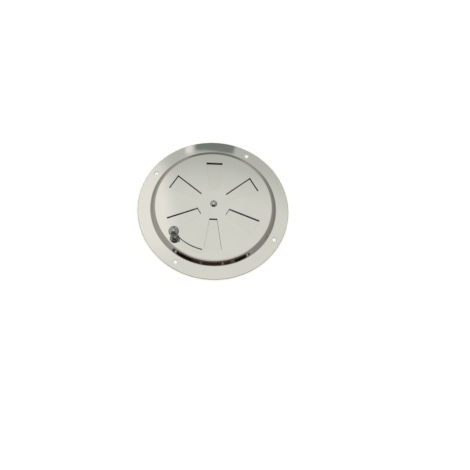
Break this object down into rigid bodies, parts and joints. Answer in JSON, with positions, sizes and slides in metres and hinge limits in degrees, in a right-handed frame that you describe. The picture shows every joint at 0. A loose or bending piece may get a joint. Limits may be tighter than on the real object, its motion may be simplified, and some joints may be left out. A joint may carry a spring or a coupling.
{
  "type": "round ventilation grille",
  "caption": "Round butterfly vent: pressed polished steel face plate with tapered vents and a rotating shutter, turned by a ball knob in a curved slot.",
  "frame": {"origin": "centre of the flange's flat back, on the panel that the vent is screwed to", "axes": "+Z out of the front, along the shutter's pivot; +Y to the upper side, through the middle of one vent; +X to the right seen from the front"},
  "size_m": [0.127, 0.127, 0.0161],
  "materials": {
    "polished_stainless": "bright polished stainless sheet",
    "rivet_steel": "polished stainless rivet",
    "nylon": "natural white nylon",
    "spring_steel": "rolled spring steel",
    "washer_steel": "tumbled stainless",
    "knob_chrome": "bright chrome plate on a turned ball",
    "screw_steel": "machined stainless"
  },
  "bodies": {
    "root": {"front_plate": "polished_stainless", "pivot_rivet": "rivet_steel", "spacer_washer": "nylon", "spring_washer": "spring_steel", "tail_washer": "washer_steel"},
    "shutter": {"shutter_plate": "polished_stainless", "knob": "knob_chrome", "knob_washer": "washer_steel", "knob_screw": "screw_steel"}
  },
  "joints": [
    {"name": "shutter_turn", "type": "hinge", "parent": "root", "child": "shutter", "pos_m": [0, 0, 0.00195], "axis": [0, 0, 1], "range_deg": [0, 33]}
  ]
}
